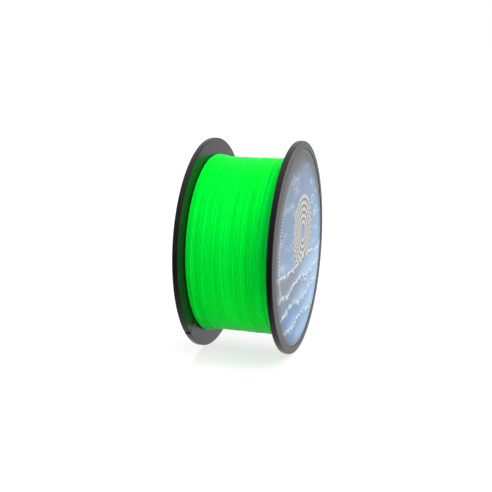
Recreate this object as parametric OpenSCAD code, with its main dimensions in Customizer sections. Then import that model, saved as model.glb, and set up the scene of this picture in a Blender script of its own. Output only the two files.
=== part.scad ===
// Fishing line spool: two flanges clipped into a ribbed drum, a label and the wound line.
// The spool stands on its rims. Its axis is Y, the label faces -Y and the origin is its centre.

/* [Flanges] */
// Diameter of both flanges
flange_d = 100; // [92:1:140]
// Width over the outer faces of the flanges
spool_w = 45; // [38:1:80]
// Thickness of a flange at its rim
rim_t = 2.8; // [2:0.1:4]
// Thickness of a flange where the drum seats
root_t = 3.2; // [2.4:0.1:5]
// Radius on both edges of a rim
rim_round = 0.6; // [0.2:0.1:0.9]
// Width of the raised band round the recess in an outer face
rim_band = 3.5; // [2:0.1:6]
// Depth of the recess in an outer face
recess = 0.4; // [0.3:0.1:1]
// Chamfer round the mouth of the hub and the mouth of the bore
lead_in = 0.6; // [0.2:0.1:1]
// Width of the lip that the rear flange leaves inside its spigot
mouth_lip = 0.6; // [0.3:0.1:2]

/* [Drum] */
// Outer diameter of the drum
drum_d = 56; // [46:1:62]
// Wall of the drum
drum_wall = 2; // [1.6:0.1:3]
// Diameter of the spindle bore
bore_d = 16; // [8:0.5:20]
// Wall of the spindle tube
tube_wall = 2; // [1.2:0.1:3]
// Thickness of the ribs between the spindle tube and the drum
rib_t = 1.6; // [1:0.1:2.4]
// Space between the end of a drum rib and the flange spigot
rib_gap = 0.5; // [0.3:0.1:2]

/* [Snap hooks] */
// Hooks on each flange, with one drum rib between each pair
hooks = 6; // [3:1:8]
// Width of a hook
hook_w = 8; // [5:0.5:10]
// Length of a hook from the drum's end
hook_l = 10; // [8:0.5:13]
// Thickness of the hooks and of the spigot between them
hook_t = 1.6; // [1.2:0.1:2.2]
// Distance of a drum window from the drum's end
latch_l = 5; // [3:0.5:6]
// Length of the flat on top of a barb
barb_l = 1; // [0.5:0.1:1.5]
// Depth of a barb's top below the drum's surface
barb_below = 0.6; // [0.2:0.1:0.8]
// Length of the spigot between the hooks
spigot_l = 5; // [3:0.5:7]
// Slot on each side of a hook
hook_slot = 1.5; // [1:0.1:2]
// Clearance of the spigot, the hooks and the spindle tube in their seats
fit = 0.1; // [0.05:0.01:0.2]

/* [Front web] */
// Wall of the socket round the spindle tube
socket_wall = 1.5; // [1:0.1:2]
// Height of the socket
socket_h = 4; // [2:0.5:4.5]
// Height of the stiffening ribs on the web
web_rib_h = 2.4; // [1:0.1:2.8]

/* [Line holder] */
// Direction of the slit in the rear flange, from +X toward +Z
slit_a = -136; // [-180:1:180]
// Depth of the slit, from the rim to the centre of its eye
slit_l = 5.4; // [3:0.1:6]
// Width of the slit
slit_w = 0.6; // [0.5:0.1:1.2]
// Diameter of the eye that ends the slit
eye_d = 1.6; // [1.3:0.1:2.5]
// Width of the slit's flared mouth
mouth_w = 1.8; // [1.6:0.1:4]
// Depth of the flare
mouth_l = 1.2; // [0.8:0.1:2.5]

/* [Label] */
// Thickness of the label
label_t = 0.3; // [0.1:0.05:0.3]
// Gap between the label and the edge of its recess
label_gap = 0.2; // [0.1:0.1:1]

/* [Line] */
// Diameter of the line
line_d = 0.5; // [0.3:0.05:0.9]
// Depth of the wound line's surface below the rims
line_below_rim = 8; // [5:0.1:12]
// Turns in the outer layer
turns = 24; // [6:1:24]
// Space between the wound line and the drum or a flange
pack_gap = 0.15; // [0.1:0.05:0.5]
// Space between a turn or a knot and what it lies on
lay_gap = 0.05; // [0.02:0.01:0.1]
// Play of the line in its anchor hole through the drum
anchor_play = 0.4; // [0.2:0.1:0.5]
// Distance of the anchor hole from the middle of the drum rib beside it
anchor_off = 3.6; // [2.8:0.1:5]
// Length of the line's start beyond its knot
start_l = 4; // [2:0.5:8]

/* [Hidden] */
$fn = 96;

black = "#1c1c1e";
label_blue = "#8fb3db";
line_green = "#0fd445";

flange_r = flange_d / 2;
recess_r = flange_r - rim_band;
seat_z = spool_w / 2 - root_t;
drum_r = drum_d / 2;
drum_in_r = drum_r - drum_wall;
bore_r = bore_d / 2;
tube_r = bore_r + tube_wall;
spigot_r = drum_in_r - fit;
spigot_in_r = spigot_r - hook_t;
socket_r = tube_r + fit;

// Angles that the hooks and their slots take up round the spigot
hook_a = degrees(hook_w / spigot_r);
slot_a = degrees(hook_slot / spigot_r);
hook_step = 360 / hooks;
window_a = hook_a + 2 * degrees(fit / spigot_r);

// How far a rib or a spigot runs into the wall that carries it
root = 0.8;
// How far a cut runs past the face that it opens
past = 1;
// Segments in a rounded edge
arc_steps = 6;

// The wound line: its surface, its outer layer and the core under that
line_r = line_d / 2;
rings = 24;
sides = 6;
fill_r = flange_r - line_below_rim;
turn_r = fill_r - line_r;
bend_r = line_d;
core_r = turn_r * cos(180 / rings) - line_r - lay_gap;
step_r = turn_r - bend_r - line_d - lay_gap;
turn_z = pack_z(fill_r) - line_r - pack_gap;
step_z = turn_z - line_r - pack_gap;
pitch = 2 * turn_z / turns;
bend_steps = 3;

// The knot's wraps, with their place in line diameters and the round of each that shows
wraps = 3;
wrap_out = 0.8;
wrap_step = 0.9;
wrap_arc = 60;

anchor_a = hook_step / 2 - degrees(anchor_off / drum_in_r);

function degrees(turn) = turn * 180 / PI;
function unit(v) = v / norm(v);
function arc(centre, r, from, to) = [
    for (k = [0 : arc_steps])
        let (a = from + (to - from) * k / arc_steps)
        centre + r * [cos(a), sin(a)]
];

// Distance from the mid plane to a flange's tapered inner face, at radius r
function face_z(r) = spool_w / 2 - rim_t - (root_t - rim_t) * (flange_r - r) / (flange_r - drum_r);
// The same for the end of the wound line
function pack_z(r) = face_z(r) - pack_gap;

// The outer layer's centre line: each end stands square on the core and bends over into the turns
function wind_end() = concat(
    [for (k = [0 : 1]) [step_r + lay_gap + k * line_d, 0]],
    [
        for (k = [1 : bend_steps])
            let (a = 90 * k / bend_steps)
            [turn_r - bend_r + bend_r * sin(a), bend_r * (1 - cos(a))]
    ]
);
function wind_path() =
    let (end = wind_end(), last = len(end) - 1)
    concat(
        [for (p = end) [p.x, p.y, turn_z]],
        [
            for (i = [1 : turns * rings - 1])
                let (a = 360 * i / rings)
                [turn_r * cos(a), turn_r * sin(a), turn_z - pitch * i / rings]
        ],
        [for (k = [0 : last]) [end[last - k].x, -end[last - k].y, -turn_z]]
    );

// Least gap between parts of a path that lie half a turn or more apart along it
function least_gap(path) = min([
    for (i = [0 : len(path) - 1])
        for (j = [i + rings / 2 : 1 : len(path) - 1])
            norm(path[i] - path[j])
]) - line_d;

// Points of a tube's skin: a ring of points round each point of the path
function tube_points(path) = [
    for (i = [0 : len(path) - 1])
        let (
            along = unit(path[min(i + 1, len(path) - 1)] - path[max(i - 1, 0)]),
            across = unit([0, 0, 1] - along * along.z),
            up = cross(along, across)
        )
        for (s = [0 : sides - 1])
            path[i] + line_r * (across * cos(360 * s / sides) + up * sin(360 * s / sides))
];
function tube_faces(count) = concat(
    [
        for (i = [0 : count - 2])
            for (s = [0 : sides - 1])
                let (a = i * sides + s, b = i * sides + (s + 1) % sides)
                for (f = [[a, a + sides, b], [b, a + sides, b + sides]])
                    f
    ],
    [for (s = [1 : sides - 2]) [0, s, s + 1]],
    [
        for (s = [1 : sides - 2])
            let (first = (count - 1) * sides)
            [first, first + s + 1, first + s]
    ]
);

// Turns a spool modelled with its axis along Z, label up, onto its rims
module on_rims() {
    rotate([90, 0, 0])
        children();
}

// Places a flange modelled from its outer face at z = 0 inward along +Z
module front_side() {
    translate([0, 0, spool_w / 2])
        mirror([0, 0, 1])
            children();
}
module rear_side() {
    translate([0, 0, -spool_w / 2])
        children();
}

module at_hooks(offset_a) {
    for (k = [0 : hooks - 1])
        rotate(k * hook_step + offset_a)
            children();
}

// A flange with its raised band, its recess and a tapered inner face, round a chamfered hole
module flange_disc(hole_r, chamfer) {
    rotate_extrude()
        polygon(concat(
            [[hole_r, root_t], [hole_r, recess + chamfer], [hole_r + chamfer, recess]],
            [[recess_r, recess], [recess_r, 0]],
            arc([flange_r - rim_round, rim_round], rim_round, -90, 0),
            arc([flange_r - rim_round, rim_t - rim_round], rim_round, 0, 90),
            [[drum_r, root_t]]
        ));
}

// One hook, whose barb catches the far side of a drum window
module snap_hook() {
    barb_r = drum_r - barb_below;
    latch = root_t + latch_l + fit;
    rotate(-hook_a / 2)
        rotate_extrude(angle = hook_a)
            polygon([
                [spigot_in_r, root_t - root],
                [spigot_r, root_t - root],
                [spigot_r, latch],
                [barb_r, latch],
                [barb_r, latch + barb_l],
                [spigot_r - hook_t / 3, root_t + hook_l],
                [spigot_in_r, root_t + hook_l]
            ]);
}

// The part of the spigot between two hooks
module spigot_wall() {
    wall_a = hook_step - hook_a - 2 * slot_a;
    rotate(-wall_a / 2)
        rotate_extrude(angle = wall_a)
            translate([spigot_in_r, root_t - root])
                square([hook_t, spigot_l + root]);
}

module hub_fit() {
    at_hooks(0)
        snap_hook();
    at_hooks(hook_step / 2)
        spigot_wall();
}

// The slit in the rim that holds the line's end, drawn along +X
module line_slit() {
    linear_extrude(height = root_t + 2 * past)
        union() {
            translate([flange_r - slit_l, 0])
                circle(d = eye_d);
            translate([flange_r - slit_l, -slit_w / 2])
                square([slit_l + past, slit_w]);
            polygon([
                [flange_r - mouth_l, 0],
                [flange_r, -mouth_w / 2],
                [flange_r + past, -mouth_w / 2],
                [flange_r + past, mouth_w / 2],
                [flange_r, mouth_w / 2]
            ]);
        }
}

module front_flange() {
    socket_out_r = socket_r + socket_wall;
    color(black)
        on_rims()
            front_side() {
                flange_disc(bore_r, lead_in);
                hub_fit();
                rotate_extrude()
                    translate([socket_r, root_t - root])
                        square([socket_wall, socket_h + root]);
                at_hooks(hook_step / 2)
                    translate([socket_out_r - root, -rib_t / 2, root_t - root])
                        cube([spigot_in_r - socket_out_r + 2 * root, rib_t, web_rib_h + root]);
            }
}

module rear_flange() {
    color(black)
        on_rims()
            difference() {
                rear_side() {
                    flange_disc(spigot_in_r - mouth_lip, lead_in);
                    hub_fit();
                }
                rotate(slit_a)
                    translate([0, 0, -spool_w / 2 - past])
                        line_slit();
            }
}

// Drum, spindle tube and ribs in one moulding, with a window for each barb and a hole for the line
module drum() {
    rib_z = seat_z - spigot_l - rib_gap;
    tube_end = -spool_w / 2 + recess;
    color(black)
        on_rims()
            difference() {
                union() {
                    difference() {
                        translate([0, 0, -seat_z])
                            cylinder(r = drum_r, h = 2 * seat_z);
                        translate([0, 0, -seat_z - past])
                            cylinder(r = drum_in_r, h = 2 * seat_z + 2 * past);
                    }
                    at_hooks(hook_step / 2)
                        translate([tube_r - root, -rib_t / 2, -rib_z])
                            cube([drum_in_r - tube_r + 2 * root, rib_t, 2 * rib_z]);
                    translate([0, 0, tube_end])
                        cylinder(r = tube_r, h = seat_z - tube_end);
                }
                translate([0, 0, tube_end - past])
                    cylinder(r = bore_r, h = seat_z - tube_end + 2 * past);
                translate([0, 0, tube_end])
                    cylinder(r1 = bore_r + lead_in, r2 = bore_r, h = lead_in);
                for (end = [0, 1])
                    mirror([0, 0, end])
                        at_hooks(-window_a / 2)
                            rotate_extrude(angle = window_a)
                                translate([drum_in_r - past, seat_z - hook_l])
                                    square([drum_wall + 2 * past, hook_l - latch_l]);
                rotate(anchor_a)
                    translate([drum_in_r - past, 0, 0])
                        rotate([0, 90, 0])
                            cylinder(d = line_d + anchor_play, h = drum_wall + 2 * past);
            }
}

module front_label() {
    color(label_blue)
        on_rims()
            translate([0, 0, spool_w / 2 - recess])
                cylinder(r = recess_r - label_gap, h = label_t);
}

// The packed inner layers, with a step at each end where the outer layer comes up and goes down
module line_core() {
    inner_r = drum_r + pack_gap;
    half = [
        [inner_r, pack_z(inner_r)],
        [step_r, pack_z(step_r)],
        [step_r, step_z],
        [core_r, step_z]
    ];
    color(line_green)
        on_rims()
            rotate_extrude()
                polygon(concat(
                    half,
                    [for (k = [0 : len(half) - 1]) let (p = half[len(half) - 1 - k]) [p.x, -p.y]]
                ));
}

module line_outer_layer() {
    path = wind_path();
    echo(least_gap_between_turns = least_gap(path));
    color(line_green)
        on_rims()
            polyhedron(points = tube_points(path), faces = tube_faces(len(path)));
}

// The line's inner end: through the anchor hole, knotted inside the drum
module line_start_knot() {
    through_l = drum_wall + pack_gap + lay_gap;
    knot_l = line_d * (1 + wrap_step * (wraps - 1));
    end_l = through_l + knot_l + start_l;
    color(line_green)
        on_rims()
            rotate(anchor_a)
                translate([drum_r + pack_gap - lay_gap, 0, 0])
                    rotate([0, -90, 0])
                        rotate_extrude()
                            polygon(concat(
                                [[0, 0], [line_r, 0], [line_r, through_l]],
                                [
                                    for (k = [0 : wraps - 1])
                                        let (wrap_z = through_l + line_r + line_d * wrap_step * k)
                                        for (p = arc([line_d * wrap_out, wrap_z], line_r, -wrap_arc, wrap_arc))
                                            p
                                ],
                                [[line_r, through_l + knot_l], [line_r, end_l], [0, end_l]]
                            ));
}

front_flange();
rear_flange();
drum();
front_label();
line_core();
line_outer_layer();
line_start_knot();
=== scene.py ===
import math

import bmesh
import bpy
from mathutils import Matrix, Vector, noise


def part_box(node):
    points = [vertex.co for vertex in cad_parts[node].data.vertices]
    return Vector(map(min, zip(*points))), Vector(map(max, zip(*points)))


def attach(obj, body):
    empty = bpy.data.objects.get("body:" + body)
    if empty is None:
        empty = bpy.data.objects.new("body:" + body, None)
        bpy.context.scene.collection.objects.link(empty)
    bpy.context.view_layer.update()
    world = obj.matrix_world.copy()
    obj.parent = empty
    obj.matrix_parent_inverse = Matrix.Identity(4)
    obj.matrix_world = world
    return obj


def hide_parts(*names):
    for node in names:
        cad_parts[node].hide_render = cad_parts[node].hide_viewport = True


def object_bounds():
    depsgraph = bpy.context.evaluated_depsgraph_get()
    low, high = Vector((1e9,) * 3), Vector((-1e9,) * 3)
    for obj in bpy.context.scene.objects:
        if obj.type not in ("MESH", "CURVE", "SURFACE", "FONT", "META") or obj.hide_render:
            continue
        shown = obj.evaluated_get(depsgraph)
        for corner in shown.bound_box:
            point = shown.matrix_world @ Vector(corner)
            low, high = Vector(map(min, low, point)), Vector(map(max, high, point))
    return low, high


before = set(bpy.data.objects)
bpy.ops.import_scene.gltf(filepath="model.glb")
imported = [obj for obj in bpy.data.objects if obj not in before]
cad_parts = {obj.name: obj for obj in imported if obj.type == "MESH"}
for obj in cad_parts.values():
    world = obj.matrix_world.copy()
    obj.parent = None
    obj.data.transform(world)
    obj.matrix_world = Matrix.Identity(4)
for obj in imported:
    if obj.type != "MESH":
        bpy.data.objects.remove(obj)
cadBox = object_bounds()
mm = 0.001
weldGap = 0.002 * mm
bumpDepth = 0.05 * mm
scene = bpy.context.scene
scene.view_settings.view_transform = "Standard"
print("frame loaded:", ", ".join(sorted(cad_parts)))

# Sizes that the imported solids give, in metres
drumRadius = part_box("drum")[1].x
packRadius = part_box("line_outer_layer")[1].x
labelLow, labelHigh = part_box("front_label")
labelRadius = labelHigh.x


def findFlangeFace(radius):  # how far from the middle the rear flange's inner face lies
    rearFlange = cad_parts["rear_flange"]
    hit, spot, normal, faceIndex = rearFlange.ray_cast(Vector((radius, 0, 0)), Vector((0, 1, 0)))
    return spot.y


# Node trees: one call makes a node, sets or links its inputs and its settings
def addNode(tree, kind, inputs=None, **settings):
    newNode = tree.nodes.new(kind)
    for key, value in settings.items():
        setattr(newNode, key, value)
    for key, value in (inputs or {}).items():
        connect(tree, value, newNode.inputs[key])
    return newNode


def connect(tree, value, socket):  # links another node's output, or sets a plain value
    if isinstance(value, bpy.types.NodeSocket):
        tree.links.new(value, socket)
    else:
        socket.default_value = value


def calc(tree, operation, *values):
    return addNode(tree, "ShaderNodeMath", dict(enumerate(values)), operation=operation).outputs[0]


def times(tree, first, second):
    return calc(tree, "MULTIPLY", first, second)


def scaleAdd(tree, value, factor, offset):
    return calc(tree, "MULTIPLY_ADD", value, factor, offset)


def inverse(tree, mask):
    return calc(tree, "SUBTRACT", 1, mask)


def soften(tree, value, low, high):  # 0 below low, 1 above high, smooth between them
    inputs = {"Value": value, "From Min": low, "From Max": high}
    return addNode(tree, "ShaderNodeMapRange", inputs, interpolation_type="SMOOTHSTEP").outputs["Result"]


def noiseValue(tree, place, scale, detail, roughness=0.5, dimensions="3D"):
    inputs = {"Vector": place, "Scale": scale, "Detail": detail, "Roughness": roughness}
    return addNode(tree, "ShaderNodeTexNoise", inputs, noise_dimensions=dimensions).outputs["Fac"]


def objectPlace(tree):
    return addNode(tree, "ShaderNodeTexCoord").outputs["Object"]


def splitAxes(tree, vector):
    return addNode(tree, "ShaderNodeSeparateXYZ", {0: vector}).outputs


def blendValue(tree, factor, below, above):
    return addNode(tree, "ShaderNodeMix", {0: factor, 2: below, 3: above}).outputs[0]


def blendColor(tree, factor, below, above):
    mixNode = addNode(tree, "ShaderNodeMix", {0: factor}, data_type="RGBA")
    for color, socket in ((below, mixNode.inputs[6]), (above, mixNode.inputs[7])):
        connect(tree, (*color, 1) if isinstance(color, tuple) else color, socket)
    return mixNode.outputs[2]


def linkBump(tree, shader, height, strength):
    bump = addNode(tree, "ShaderNodeBump", {"Height": height, "Strength": strength, "Distance": bumpDepth})
    connect(tree, bump.outputs["Normal"], shader.inputs["Normal"])


def newMaterial(name, plainValues):  # plain values go straight onto the shader's own sockets
    material = bpy.data.materials.new(name)
    material.use_nodes = True
    shader = material.node_tree.nodes["Principled BSDF"]
    for socketName, value in plainValues.items():
        shader.inputs[socketName].default_value = value
    return material, material.node_tree, shader


def newGroup(name, inputs, outputs):
    group = bpy.data.node_groups.new(name, "ShaderNodeTree")
    for socketName, kind, value in inputs:
        group.interface.new_socket(socketName, in_out="INPUT", socket_type=kind).default_value = value
    for socketName, kind in outputs:
        group.interface.new_socket(socketName, in_out="OUTPUT", socket_type=kind)
    return group, group.nodes.new("NodeGroupInput"), group.nodes.new("NodeGroupOutput")


# Moulded plastic: handling smudges in the gloss, hairline scratches, fine grain and a little dust
finishLook = {
    "smudgeScale": 70,
    "hairlineScale": 45,
    "hairlineTurn": (0.3, 0.5, 0.7),
    "hairlineStretch": (1, 24, 24),
    "hairlineWidth": 0.02,
    "patchScale": 110,
    "patchCover": (0.52, 0.66),
    "speckScale": 1500,
    "speckCover": (0.68, 0.74),
    "paleColor": (0.35, 0.35, 0.34),      # of scratches and dust, and how far each goes towards it
    "scratchPale": 0.12,
    "dustPale": 0.25,
    "paleRoughness": 1.5,                 # what they add to the roughness
    "leastRoughness": 0.05,
    "grainHeight": 0.5,
}
flangeLook = {"Color": (0.006, 0.006, 0.0065, 1), "Gloss": 0.25, "Smudge": 0.1, "Scratch": 0.3,
              "Grain Scale": 2600.0, "Dust": 0.1}
drumLook = {"Color": (0.012, 0.012, 0.013, 1), "Gloss": 0.34, "Smudge": 0.1, "Scratch": 0.1,
            "Grain Scale": 1800.0, "Dust": 0.25}
plasticIor = 1.47


def makeMouldedFinish(look, startValues):
    inputs = []
    for socketName, value in startValues.items():
        kind = "NodeSocketColor" if isinstance(value, tuple) else "NodeSocketFloat"
        inputs.append((socketName, kind, value))
    outputs = [("Color", "NodeSocketColor"), ("Roughness", "NodeSocketFloat"), ("Height", "NodeSocketFloat")]
    group, given, result = newGroup("mouldedFinish", inputs, outputs)
    place = objectPlace(group)
    smudge = noiseValue(group, place, look["smudgeScale"], detail=4, roughness=0.6)
    grain = noiseValue(group, place, given.outputs["Grain Scale"], detail=2)
    # hairlines are the edges of long thin cells, kept only in a few patches
    turned = addNode(group, "ShaderNodeMapping", {"Vector": place, "Rotation": look["hairlineTurn"],
                                                  "Scale": look["hairlineStretch"]}).outputs[0]
    cells = addNode(group, "ShaderNodeTexVoronoi", {"Vector": turned, "Scale": look["hairlineScale"]},
                    feature="DISTANCE_TO_EDGE").outputs["Distance"]
    hairline = inverse(group, soften(group, cells, 0, look["hairlineWidth"]))
    patches = soften(group, noiseValue(group, place, look["patchScale"], detail=1), *look["patchCover"])
    scratch = times(group, times(group, hairline, patches), given.outputs["Scratch"])
    specks = soften(group, noiseValue(group, place, look["speckScale"], detail=1), *look["speckCover"])
    dust = times(group, specks, given.outputs["Dust"])
    pale = scaleAdd(group, scratch, look["scratchPale"], times(group, dust, look["dustPale"]))
    unevenness = calc(group, "SUBTRACT", smudge, 0.5)
    gloss = scaleAdd(group, unevenness, given.outputs["Smudge"], given.outputs["Gloss"])
    gloss = scaleAdd(group, pale, look["paleRoughness"], gloss)
    height = scaleAdd(group, grain, look["grainHeight"], times(group, scratch, -1))
    color = blendColor(group, pale, given.outputs["Color"], look["paleColor"])
    connect(group, color, result.inputs["Color"])
    connect(group, calc(group, "MAXIMUM", gloss, look["leastRoughness"]), result.inputs["Roughness"])
    connect(group, height, result.inputs["Height"])
    return group


mouldedFinish = makeMouldedFinish(finishLook, flangeLook)


def dressMoulding(name, look, bumpStrength, nodeNames):
    material, tree, shader = newMaterial(name, {"IOR": plasticIor})
    finish = addNode(tree, "ShaderNodeGroup", look, node_tree=mouldedFinish)
    connect(tree, finish.outputs["Color"], shader.inputs["Base Color"])
    connect(tree, finish.outputs["Roughness"], shader.inputs["Roughness"])
    linkBump(tree, shader, finish.outputs["Height"], bumpStrength)
    for nodeName in nodeNames:
        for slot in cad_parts[nodeName].material_slots:
            slot.material = material


dressMoulding("glossBlackMoulding", flangeLook, bumpStrength=0.08, nodeNames=("front_flange", "rear_flange"))
dressMoulding("satinBlackMoulding", drumLook, bumpStrength=0.2, nodeNames=("drum",))
print("flanges and drum dressed")


def finishPiece(name, bm, material, replaced):
    bmesh.ops.recalc_face_normals(bm, faces=bm.faces)
    for face in bm.faces:
        face.smooth = True
    mesh = bpy.data.meshes.new(name)
    bm.to_mesh(mesh)
    bm.free()
    mesh.materials.append(material)
    piece = bpy.data.objects.new(name, mesh)
    scene.collection.objects.link(piece)
    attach(piece, "root")
    if replaced:
        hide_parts(replaced)
    print(name, "has", len(mesh.polygons), "faces")
    return piece


# Wound line: a packed bed, a tight layer laid one way, the layer that shows laid back over it,
# and a few quick turns that cross it
lineLook = {
    "diameter": 0.5 * mm,
    "sides": 6,
    "stepsPerTurn": 90,
    "radialWobble": 0.08 * mm,
    "axialWobble": 0.22 * mm,
    "wobblesPerTurn": 1.6,
    "swaysPerWobble": 0.6,
    "steadyTurns": 2.0,                   # turns beside a flange that lie straight
    "endDive": 0.12,                      # part of a turn over which an end sinks in
    "toneMiddle": 0.55,                   # each strand's tone, from shade to bright
    "toneRange": 0.75,
    "tonesPerTurn": 0.9,
    "noiseRows": {"sway": 9.5, "rise": 0.5, "tone": 20.5},
    "brightColor": (0.001, 0.93, 0.052),
    "shadeColor": (0.0003, 0.75, 0.006),
    "toneShare": 0.85,
    "mottleShare": 0.3,
    "mottleScale": 160,
    "roughness": (0.22, 0.2),             # least, and what the mottle adds
    "plainValues": {"IOR": 1.53, "Specular IOR Level": 0.06, "Specular Tint": (0.0, 1.0, 0.4, 1),
                    "Sheen Weight": 0.35, "Sheen Roughness": 0.3, "Sheen Tint": (0.0, 0.8, 0.9, 1)},
}
packLook = {
    "middleFall": 0.55 * mm,              # the middle lies below the solid's surface
    # place, width and rise of each shoulder beside a flange
    "shoulders": [(18.2 * mm, 3.0 * mm, 0.95 * mm), (-17.0 * mm, 5.0 * mm, 0.4 * mm)],
    "endGap": 0.03 * mm,                  # between the last turn and the flange
    "endLength": 0.7 * mm,                # each end rounds off over this length
    "endDrop": 0.2 * mm,
    "ridge": 0.14 * mm,                   # uneven laying along the pack
    "ridgesPerMm": 0.45,
    "ridgeRow": (0.3, 0.7),
    "bedDepth": 1.1 * mm,
    "bedGap": 0.005 * drumRadius,
    "bedStations": 25,
    "bedSteps": 144,
    # the bed shows only deep between the strands, and its darker tone is painted shade there
    "bedPaintedShadeTone": 0.3,
}
layerLooks = {
    "lineUnderLayer": {"turns": 76, "direction": -1, "sink": 0.28 * mm, "seed": 3.1,
                       "replaces": None},
    "lineTopLayer": {"turns": 66, "direction": 1, "sink": 0.0, "seed": 7.7,
                     "replaces": "line_outer_layer"},
    "lineCrossingTurns": {"turns": 8, "direction": -1, "sink": -0.12 * mm, "seed": 5.2,
                          "replaces": None},
}
packHalfLength = findFlangeFace(packRadius - packLook["bedDepth"]) - packLook["endGap"]


def packSurface(y):  # radius of the wound line's surface at y
    radius = packRadius - packLook["middleFall"]
    for place, width, rise in packLook["shoulders"]:
        radius += rise * math.exp(-((y - place) / width) ** 2)
    intoEnd = (abs(y) - packHalfLength) / packLook["endLength"] + 1
    if intoEnd > 0:
        radius -= packLook["endDrop"] * intoEnd ** 2
    ridges = y / mm * packLook["ridgesPerMm"]
    return radius + packLook["ridge"] * noise.noise((ridges, *packLook["ridgeRow"]))


def makeLineMaterial(look):
    material, tree, shader = newMaterial("greenNylonLine", look["plainValues"])
    tone = addNode(tree, "ShaderNodeAttribute", attribute_name="strandTone").outputs["Fac"]
    mottle = noiseValue(tree, objectPlace(tree), look["mottleScale"], detail=2)
    factor = scaleAdd(tree, mottle, look["mottleShare"], times(tree, tone, look["toneShare"]))
    color = blendColor(tree, factor, look["shadeColor"], look["brightColor"])
    least, added = look["roughness"]
    connect(tree, color, shader.inputs["Base Color"])
    connect(tree, scaleAdd(tree, mottle, added, least), shader.inputs["Roughness"])
    return material


lineMaterial = makeLineMaterial(lineLook)


def makeWoundLayer(name, look, layer):
    bm = bmesh.new()
    toneLayer = bm.verts.layers.float.new("strandTone")
    turnLayer = bm.verts.layers.float.new("turn")
    sides, stepsPerTurn, turns = look["sides"], look["stepsPerTurn"], layer["turns"]
    reach = packHalfLength - look["diameter"] / 2
    pitch = layer["direction"] * 2 * reach / turns

    # one turn is spun, copied along the pack and welded end to end
    ring = bmesh.ops.create_circle(bm, segments=sides, radius=look["diameter"] / 2)["verts"]
    bmesh.ops.translate(bm, verts=ring, vec=(packRadius, -layer["direction"] * reach, 0))
    bmesh.ops.spin(bm, geom=bm.edges[:], axis=(0, 1, 0), angle=math.tau, steps=stepsPerTurn,
                   dvec=(0, pitch / stepsPerTurn, 0))
    for index, vert in enumerate(bm.verts):
        vert[turnLayer] = index // sides / stepsPerTurn
    firstTurn = bm.verts[:] + bm.edges[:] + bm.faces[:]
    for count in range(1, turns):
        copied = bmesh.ops.duplicate(bm, geom=firstTurn)["geom"]
        copiedVerts = [item for item in copied if isinstance(item, bmesh.types.BMVert)]
        bmesh.ops.translate(bm, verts=copiedVerts, vec=(0, pitch * count, 0))
        for vert in copiedVerts:
            vert[turnLayer] += count
    bmesh.ops.remove_doubles(bm, verts=bm.verts, dist=weldGap)
    bmesh.ops.holes_fill(bm, edges=[edge for edge in bm.edges if edge.is_boundary], sides=sides)

    # the line follows the pack's surface and strays a little, as line wound by machine does
    seed, rows = layer["seed"], look["noiseRows"]
    for vert in bm.verts:
        turn = vert[turnLayer]
        laidAt = -layer["direction"] * reach + pitch * turn
        along = turn * look["wobblesPerTurn"]
        steady = min(1, min(turn, turns - turn) / look["steadyTurns"])
        sway = noise.noise((along * look["swaysPerWobble"], seed, rows["sway"]))
        sway *= look["axialWobble"] * steady
        rise = packSurface(laidAt + sway) - packRadius - look["diameter"] / 2 - layer["sink"]
        rise += noise.noise((along, seed, rows["rise"])) * look["radialWobble"]
        fromEnd = min(turn, turns - turn) / look["endDive"]
        if fromEnd < 1:
            rise -= look["diameter"] * (1 - fromEnd) ** 2
        outward = Vector((vert.co.x, 0, vert.co.z)).normalized()
        vert.co += outward * rise + Vector((0, sway, 0))
        stray = noise.noise((turn * look["tonesPerTurn"], seed, rows["tone"]))
        vert[toneLayer] = look["toneMiddle"] + look["toneRange"] * stray
    bm.verts.layers.float.remove(turnLayer)
    return finishPiece(name, bm, lineMaterial, layer["replaces"])


def makeLineBed(name, look):
    bm = bmesh.new()
    toneLayer = bm.verts.layers.float.new("strandTone")
    stations, gap = look["bedStations"], look["bedGap"]
    halfLength = packHalfLength - look["endDrop"] / 4
    corners = [(drumRadius + gap, halfLength - gap), (drumRadius + gap, gap - halfLength)]
    for station in range(stations):
        y = halfLength * (2 * station / (stations - 1) - 1)
        corners.append((packSurface(y) - look["bedDepth"], y))
    loop = [bm.verts.new((x, y, 0)) for x, y in corners]
    for start, end in zip(loop, loop[1:] + loop[:1]):
        bm.edges.new((start, end))
    bmesh.ops.spin(bm, geom=bm.edges[:], axis=(0, 1, 0), angle=math.tau, steps=look["bedSteps"],
                   use_merge=True)
    # painted shade: the bed takes a darker tone than the strands laid over it
    for vert in bm.verts:
        vert[toneLayer] = look["bedPaintedShadeTone"]
    return finishPiece(name, bm, lineMaterial, "line_core")


makeLineBed("lineBed", packLook)
for layerName, layerLook in layerLooks.items():
    makeWoundLayer(layerName, lineLook, layerLook)


# Inner end of the line: through the drum's wall, wrapped three times round itself as a stop
knotLook = {"wraps": 3, "wrapPitch": 1.06 * lineLook["diameter"], "stepsPerTurn": 24, "sides": 10,
            "wrapsFromTip": 4.0 * mm, "endBand": 0.02 * mm, "tone": 0.6}


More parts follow.
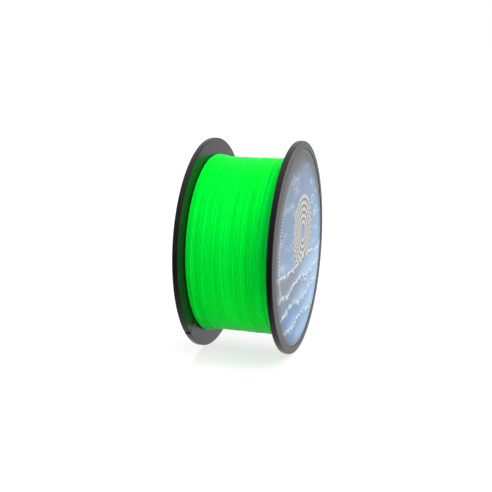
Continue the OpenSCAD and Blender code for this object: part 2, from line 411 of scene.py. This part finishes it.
def makeStartKnot(name, look):
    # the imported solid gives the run's two ends and its heading
    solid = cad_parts["line_start_knot"].data
    distances = [math.hypot(vert.co.x, vert.co.z) for vert in solid.vertices]
    outer, inner = max(distances), min(distances)
    endVerts = [vert.co for vert, distance in zip(solid.vertices, distances)
                if distance > outer - look["endBand"]]
    outerEnd = sum(endVerts, Vector()) / len(endVerts)
    diameter = lineLook["diameter"]
    bm = bmesh.new()
    toneLayer = bm.verts.layers.float.new("strandTone")
    # the straight run, modelled along +X
    bmesh.ops.create_circle(bm, segments=look["sides"], radius=diameter / 2, cap_ends=True)
    run = bmesh.ops.extrude_face_region(bm, geom=bm.faces[:])["geom"]
    bmesh.ops.translate(bm, verts=[item for item in run if isinstance(item, bmesh.types.BMVert)],
                        vec=(0, 0, outer - inner))
    bmesh.ops.rotate(bm, verts=bm.verts, matrix=Matrix.Rotation(math.pi / 2, 3, "Y"))
    bmesh.ops.translate(bm, verts=bm.verts, vec=(inner, 0, 0))
    # the wraps round it
    wrap = bmesh.ops.create_circle(bm, segments=look["sides"], radius=diameter / 2)["verts"]
    bmesh.ops.translate(bm, verts=wrap, vec=(inner + look["wrapsFromTip"], diameter, 0))
    wrapEdges = list({edge for vert in wrap for edge in vert.link_edges})
    steps = look["wraps"] * look["stepsPerTurn"]
    bmesh.ops.spin(bm, geom=wrapEdges, axis=(1, 0, 0), angle=math.tau * look["wraps"], steps=steps,
                   dvec=(look["wraps"] * look["wrapPitch"] / steps, 0, 0))
    bmesh.ops.holes_fill(bm, edges=[edge for edge in bm.edges if edge.is_boundary], sides=look["sides"])
    heading = math.atan2(outerEnd.z, outerEnd.x)
    bmesh.ops.rotate(bm, verts=bm.verts, matrix=Matrix.Rotation(-heading, 3, "Y"))
    bmesh.ops.translate(bm, verts=bm.verts, vec=(0, outerEnd.y, 0))
    for vert in bm.verts:
        vert[toneLayer] = look["tone"]
    return finishPiece(name, bm, lineMaterial, "line_start_knot")


makeStartKnot("lineStartKnot", knotLook)
print("line wound and knotted")


# Label: a coated paper disc with a soft edge and a faint ripple
labelLook = {
    "edgeRound": 0.08 * mm,
    "edgeCut": 0.3,                       # how much of the edge's corner is cut away
    "ripple": 0.03 * mm,
    "ripplesPerMetre": 55,
    "rings": 22,
    "steps": 160,
    "backColor": (0.62, 0.60, 0.55),
    "backFibre": 0.82,                    # share of the colour that is left between fibres
    "backFibreScale": 700,
    "backBump": 0.2,
    "backValues": {"IOR": 1.45, "Roughness": 0.75},
}

# Its print, a coil of line over broken swells, is laid out in millimetres from the label's centre
# and inked in linear colours
printLook = {
    "sky": [(0.0, (0.12, 0.17, 0.25)), (0.45, (0.15, 0.29, 0.49)), (0.75, (0.20, 0.40, 0.68)),
            (1.0, (0.33, 0.54, 0.80))],
    "skyRun": (0.22, -0.42),              # how far the sky's tones run per radius, across and up
    "cloudSize": (24.0, 6.5),
    "cloudCover": (0.50, 0.80),
    "cloudInk": 0.45,
    "paper": (0.70, 0.72, 0.74),
    "slate": (0.02, 0.025, 0.035),
    "coil": {"centre": (6.0, 6.0), "hole": 3.2, "radius": 18.5, "pitch": 3.05, "laysPerTurn": 32,
             "layShade": (-0.1, 0.25), "dark": (0.02, 0.022, 0.03), "light": (0.68, 0.68, 0.67)},
    # height of the swell's middle, rise, span, phase and colour, the far swell first
    "swells": [(-6.0, 1.0, 48, 0.3, (0.13, 0.17, 0.23)), (-15.0, 1.3, 40, 2.1, (0.10, 0.18, 0.28)),
               (-24.0, 1.5, 45, 4.0, (0.07, 0.20, 0.40)), (-33.0, 1.2, 36, 1.2, (0.07, 0.24, 0.50))],
    "chopsPerSpan": 2.3,                  # a shorter wave runs along each swell
    "chopPhase": 3,
    "chopRise": 0.3,
    "crestBlur": 0.06,
    "swellFade": 14.0,                    # each swell pales over this height below its crest
    "swellRun": 0.22,                     # and sooner towards the right, by this much height per length
    "paleSwell": (0.32, 0.54, 0.84),
    "foamSize": (3.2, 1.3),
    "foamCover": (0.35, 0.75),
    "foamDepth": 3.6,
    "foamEdge": (-0.1, 0.5),
    "spraySize": 1.5,
    "sprayHeight": 4.0,
    "sprayThinning": 0.3,                 # drops shrink by this over that height
    "sprayEdge": 0.04,
    "dropSize": 0.34,
    "tickBand": (36.8, 38.3),
    "hairlineBand": (39.0, 39.25),
    "ticksPerTurn": 150,
    "tickFill": (0.28, 0.72),
    "tickSector": (0.30, 0.43),           # from +X, in turns, on the side above and below -X
    "sectorBlur": 0.002,
    "bubbles": [(25, 19, 2.4), (31, 11, 1.5), (22, 28, 1.3), (32, 22, 1.0), (28, 27, 0.8), (34, 3, 1.1)],
    "bubbleWall": 0.55,
    "borderCentre": (1.5, -3.0),
    "borderFade": 9.5,
    "coatRoughness": (0.12, 0.15),        # least, and what its patches add
    "coatPatchScale": 60,
    "fibreScale": 900,
    "fibreBump": 0.08,
    "coatIor": 1.47,
}


def between(tree, value, low, high, blur=0.06):  # 1 from low to high, with both edges blurred
    return times(tree, soften(tree, value, low - blur, low + blur),
                 inverse(tree, soften(tree, value, high - blur, high + blur)))


def away(tree, spot, x, z):  # distance from a point
    inputs = {0: spot, 1: (x, z, 0)}
    return addNode(tree, "ShaderNodeVectorMath", inputs, operation="DISTANCE").outputs["Value"]


def turnAbout(tree, spot, x, z):  # direction from a point, in turns from -0.5 to 0.5
    inputs = {0: spot, 1: (x, z, 0)}
    axes = splitAxes(tree, addNode(tree, "ShaderNodeVectorMath", inputs, operation="SUBTRACT").outputs[0])
    return calc(tree, "DIVIDE", calc(tree, "ARCTAN2", axes["Y"], axes["X"]), math.tau)


def blotches(tree, spot, size):
    inputs = {0: spot, 1: (1 / size[0], 1 / size[1], 1)}
    stretched = addNode(tree, "ShaderNodeVectorMath", inputs, operation="MULTIPLY").outputs[0]
    return noiseValue(tree, stretched, scale=1, detail=4, roughness=0.62, dimensions="2D")


def printSky(tree, spot, look):
    axes = splitAxes(tree, spot)
    acrossRun, upRun = (run * mm / labelRadius for run in look["skyRun"])
    tone = scaleAdd(tree, axes["X"], acrossRun, scaleAdd(tree, axes["Y"], upRun, 0.5))
    ramp = addNode(tree, "ShaderNodeValToRGB", {0: tone})
    stops = ramp.color_ramp.elements
    while len(stops) < len(look["sky"]):
        stops.new(0.5)
    for stop, (position, color) in zip(stops, look["sky"]):
        stop.position = position
        stop.color = (*color, 1)
    cloud = soften(tree, blotches(tree, spot, look["cloudSize"]), *look["cloudCover"])
    return blendColor(tree, times(tree, cloud, look["cloudInk"]), ramp.outputs["Color"], look["paper"])


def printCoil(tree, spot, look, ink):  # a spiral of twisted strand with a round hole
    radius, turn = away(tree, spot, *look["centre"]), turnAbout(tree, spot, *look["centre"])
    across = calc(tree, "FRACT", calc(tree, "SUBTRACT", calc(tree, "DIVIDE", radius, look["pitch"]), turn))
    roundness = calc(tree, "SINE", times(tree, across, math.pi))
    twist = calc(tree, "FRACT", scaleAdd(tree, turn, look["laysPerTurn"], across))
    lay = soften(tree, calc(tree, "PINGPONG", twist, 0.5), *look["layShade"])
    strand = blendColor(tree, times(tree, roundness, lay), look["dark"], look["light"])
    return blendColor(tree, between(tree, radius, look["hole"], look["radius"]), ink, strand)


def printSwells(tree, spot, look, ink):  # each swell covers the ones behind it
    axes = splitAxes(tree, spot)
    foamCover = soften(tree, blotches(tree, spot, look["foamSize"]), *look["foamCover"])
    foam = times(tree, foamCover, look["foamDepth"])
    cells = addNode(tree, "ShaderNodeTexVoronoi", {"Vector": spot, "Scale": 1 / look["spraySize"]},
                    voronoi_dimensions="2D")
    chance = addNode(tree, "ShaderNodeSeparateColor", {0: cells.outputs["Color"]}).outputs[0]
    drop = calc(tree, "SUBTRACT", times(tree, chance, look["dropSize"]), cells.outputs["Distance"])
    for middle, rise, span, phase, color in look["swells"]:
        waveRun = math.tau / span
        wave = calc(tree, "SINE", scaleAdd(tree, axes["X"], waveRun, phase))
        chopTurn = scaleAdd(tree, axes["X"], look["chopsPerSpan"] * waveRun, look["chopPhase"] * phase)
        chop = scaleAdd(tree, calc(tree, "SINE", chopTurn), rise * look["chopRise"], middle)
        depth = calc(tree, "SUBTRACT", scaleAdd(tree, wave, rise, chop), axes["Y"])
        covered = soften(tree, depth, -look["crestBlur"], look["crestBlur"])
        faded = soften(tree, scaleAdd(tree, axes["X"], look["swellRun"], depth), 0, look["swellFade"])
        ink = blendColor(tree, covered, ink, blendColor(tree, faded, color, look["paleSwell"]))
        foamEdge = soften(tree, calc(tree, "SUBTRACT", foam, depth), *look["foamEdge"])
        ink = blendColor(tree, times(tree, covered, foamEdge), ink, look["paper"])
        thinned = scaleAdd(tree, depth, look["sprayThinning"] / look["sprayHeight"], drop)
        spray = times(tree, soften(tree, thinned, 0, look["sprayEdge"]), inverse(tree, covered))
        spray = times(tree, spray, soften(tree, depth, -look["sprayHeight"], 0))
        ink = blendColor(tree, spray, ink, look["paper"])
    return ink


def printMarks(tree, spot, look, ink):  # ticks and a hairline on one side, bubbles on the other
    radius, turn = away(tree, spot, 0, 0), turnAbout(tree, spot, 0, 0)
    upper, lower = look["tickSector"]
    above = soften(tree, turn, upper, upper + look["sectorBlur"])
    below = inverse(tree, soften(tree, turn, -lower - look["sectorBlur"], -lower))
    sector = calc(tree, "MAXIMUM", above, below)
    beat = calc(tree, "FRACT", times(tree, turn, look["ticksPerTurn"]))
    tick = times(tree, between(tree, beat, *look["tickFill"]), between(tree, radius, *look["tickBand"]))
    ink = blendColor(tree, times(tree, tick, sector), ink, look["paper"])
    hairline = times(tree, sector, between(tree, radius, *look["hairlineBand"]))
    ink = blendColor(tree, hairline, ink, look["paper"])
    for x, z, size in look["bubbles"]:
        bubble = between(tree, away(tree, spot, x, z), size - look["bubbleWall"], size)
        ink = blendColor(tree, bubble, ink, look["paper"])
    return ink


def makeLabelMaterial(look):
    material, tree, shader = newMaterial("coatedLabelPrint", {"IOR": look["coatIor"]})
    place = objectPlace(tree)
    inMm = addNode(tree, "ShaderNodeVectorMath", {0: place, "Scale": 1 / mm}, operation="SCALE").outputs[0]
    axes = splitAxes(tree, inMm)
    spot = addNode(tree, "ShaderNodeCombineXYZ", {0: axes["X"], 1: axes["Z"]}).outputs[0]
    ink = printSky(tree, spot, look)
    ink = printCoil(tree, spot, look["coil"], ink)
    ink = printSwells(tree, spot, look, ink)
    ink = printMarks(tree, spot, look, ink)
    # slate border that fades in towards the edge, wider above
    edge = labelRadius / mm
    border = soften(tree, away(tree, spot, *look["borderCentre"]), edge - look["borderFade"], edge)
    patches = noiseValue(tree, place, look["coatPatchScale"], detail=2)
    fibre = noiseValue(tree, place, look["fibreScale"], detail=3)
    least, added = look["coatRoughness"]
    connect(tree, blendColor(tree, border, ink, look["slate"]), shader.inputs["Base Color"])
    connect(tree, scaleAdd(tree, patches, added, least), shader.inputs["Roughness"])
    linkBump(tree, shader, fibre, look["fibreBump"])
    return material


def makePaperMaterial(look):
    material, tree, shader = newMaterial("plainLabelBack", look["backValues"])
    fibre = noiseValue(tree, objectPlace(tree), look["backFibreScale"], detail=4)
    shade = tuple(look["backFibre"] * part for part in look["backColor"])
    connect(tree, blendColor(tree, fibre, shade, look["backColor"]), shader.inputs["Base Color"])
    linkBump(tree, shader, fibre, look["backBump"])
    return material


def makeLabel(name, look):
    bm = bmesh.new()
    rounding, cut = look["edgeRound"], look["edgeCut"] * look["edgeRound"]
    front, back = labelLow.y, labelHigh.y
    flat = labelRadius - rounding
    points = [(flat * ring / look["rings"], front) for ring in range(look["rings"] + 1)]
    points += [(labelRadius - cut, front + cut), (labelRadius, front + rounding),
               (labelRadius, back), (0, back)]
    chain = [bm.verts.new((x, y, 0)) for x, y in points]
    for start, end in zip(chain, chain[1:]):
        bm.edges.new((start, end))
    bmesh.ops.spin(bm, geom=bm.edges[:], axis=(0, 1, 0), angle=math.tau, steps=look["steps"], use_merge=True)
    bmesh.ops.remove_doubles(bm, verts=bm.verts, dist=weldGap)
    # the back shows plain paper, and only the front ripples
    for face in bm.faces:
        if min(vert.co.y for vert in face.verts) > back - weldGap:
            face.material_index = 1
    for vert in bm.verts:
        if vert.co.y < (front + back) / 2:
            vert.co.y += look["ripple"] * (0.5 - 0.5 * noise.noise(vert.co * look["ripplesPerMetre"]))
    piece = finishPiece(name, bm, makeLabelMaterial(printLook), "front_label")
    piece.data.materials.append(makePaperMaterial(look))
    return piece


makeLabel("printedLabel", labelLook)
print("label printed")


# Floor, light and camera, in metres. The camera stands off -X, a little towards the label's side
stageLook = {
    "floorHalf": 6.0,
    "floorCells": 4,
    "floorValues": {"Base Color": (0.94, 0.94, 0.94, 1), "Roughness": 0.9, "Specular IOR Level": 0},
    "floorWhite": 0.66,                   # share of plain white that is seen in the floor
    # painted light: the floor's seen white gains along X, which pales the spool's shadow
    "paintedWhiteBehind": (-0.012, 0.012, 0.164),  # start, end and gain of that share, along X
    "whiteLevel": 1.15,
    "ambient": 0.1,
    "glossNear": 0.05,                    # what gloss shows of the side that the camera stands on
    "glossFar": 0.75,                     # and of the far side
    "sidewaysWeight": 1.2,                # how much a way off to either side counts as far
    "floorGrade": (-0.08, 0.0),           # where near turns to far on the floor
    "skyGrade": (-0.7, 0.5),              # and in a direction of the sky
    "backShade": [(0.02, 0.05, -0.6), (0.05, 0.5, 0.8)],  # start, end and change, along Y
    "suns": {"overheadSun": {"towards": (0.0, 0.0, 1.0), "strength": 2.5, "spread": 40},
             "cornerSun": {"towards": (-0.35, -0.6, 0.7), "strength": 2.2, "spread": 40}},
}


def gradeGloss(tree, place, look, grade):  # gloss shows the camera's side dark and the others light
    axes = splitAxes(tree, place)
    aside = scaleAdd(tree, calc(tree, "ABSOLUTE", axes["Y"]), look["sidewaysWeight"], axes["X"])
    inputs = {"Value": aside, "From Min": grade[0], "From Max": grade[1],
              "To Min": look["glossNear"], "To Max": look["glossFar"]}
    return addNode(tree, "ShaderNodeMapRange", inputs).outputs["Result"]


def seenThrough(tree, path):  # 1 for what the camera sees, straight or through something clear
    return calc(tree, "MAXIMUM", path.outputs["Is Camera Ray"], path.outputs["Is Transmission Ray"])


def makeFloor(look):
    bm = bmesh.new()
    bmesh.ops.create_grid(bm, x_segments=look["floorCells"], y_segments=look["floorCells"],
                          size=look["floorHalf"])
    bmesh.ops.translate(bm, verts=bm.verts, vec=(0, 0, cadBox[0].z))
    mesh = bpy.data.meshes.new("studioFloor")
    bm.to_mesh(mesh)
    bm.free()
    material, tree, shader = newMaterial("paleFloor", look["floorValues"])
    path = addNode(tree, "ShaderNodeLightPath")
    inGloss = path.outputs["Is Glossy Ray"]
    place = objectPlace(tree)
    axes = splitAxes(tree, place)
    # in gloss, the floor off the rear flange is dark beside it and light further away
    shade = 1.0
    for start, end, change in look["backShade"]:
        shade = scaleAdd(tree, soften(tree, axes["Y"], start, end), change, shade)
    glossLevel = times(tree, gradeGloss(tree, place, look, look["floorGrade"]), shade)
    glow = addNode(tree, "ShaderNodeEmission",
                   {"Strength": blendValue(tree, inGloss, look["whiteLevel"], glossLevel)})
    # the floor's seen white rises on the side away from the camera, a painted lightening that pales the
    # shadow there
    start, end, gain = look["paintedWhiteBehind"]
    white = scaleAdd(tree, soften(tree, axes["X"], start, end), gain, look["floorWhite"])
    share = calc(tree, "MAXIMUM", times(tree, seenThrough(tree, path), white), inGloss)
    mixed = addNode(tree, "ShaderNodeMixShader", {0: share, 1: shader.outputs[0], 2: glow.outputs[0]})
    connect(tree, mixed.outputs[0], tree.nodes["Material Output"].inputs["Surface"])
    mesh.materials.append(material)
    floor = bpy.data.objects.new("studioFloor", mesh)
    scene.collection.objects.link(floor)


def makeWorld(look):
    world = bpy.data.worlds.new("whiteStudio")
    world.use_nodes = True
    scene.world = world
    tree = world.node_tree
    path = addNode(tree, "ShaderNodeLightPath")
    direction = addNode(tree, "ShaderNodeTexCoord").outputs["Generated"]
    glossLevel = gradeGloss(tree, direction, look, look["skyGrade"])
    level = blendValue(tree, seenThrough(tree, path), look["ambient"], 1.0)
    level = blendValue(tree, path.outputs["Is Glossy Ray"], level, glossLevel)
    tree.nodes["Background"].inputs["Color"].default_value = (1, 1, 1, 1)
    connect(tree, level, tree.nodes["Background"].inputs["Strength"])


def addSun(name, look):
    lamp = bpy.data.lights.new(name, "SUN")
    lamp.energy = look["strength"]
    lamp.angle = math.radians(look["spread"])
    holder = bpy.data.objects.new(name, lamp)
    holder.rotation_euler = Vector(look["towards"]).to_track_quat("Z", "Y").to_euler()
    holder.visible_glossy = False
    scene.collection.objects.link(holder)


cameraLook = {"azimuth": -73.113, "elevation": 13.529, "distance": 0.4292, "lens": 65.85,
              "aimRight": -3.874 * mm, "aimUp": -0.719 * mm, "clipStart": 0.01}


def makeCamera(look):
    azimuth, elevation = math.radians(look["azimuth"]), math.radians(look["elevation"])
    back = Vector((math.sin(azimuth) * math.cos(elevation), -math.cos(azimuth) * math.cos(elevation),
                   math.sin(elevation)))
    right = Vector((math.cos(azimuth), math.sin(azimuth), 0))
    up = back.cross(right)
    lensData = bpy.data.cameras.new("photoCamera")
    lensData.lens = look["lens"]
    lensData.clip_start = look["clipStart"]
    camera = bpy.data.objects.new("photoCamera", lensData)
    camera.location = right * look["aimRight"] + up * look["aimUp"] + back * look["distance"]
    camera.rotation_euler = (-back).to_track_quat("-Z", "Y").to_euler()
    scene.collection.objects.link(camera)
    scene.camera = camera


makeFloor(stageLook)
makeWorld(stageLook)
for sunName, sunLook in stageLook["suns"].items():
    addSun(sunName, sunLook)
makeCamera(cameraLook)
print("stage set")
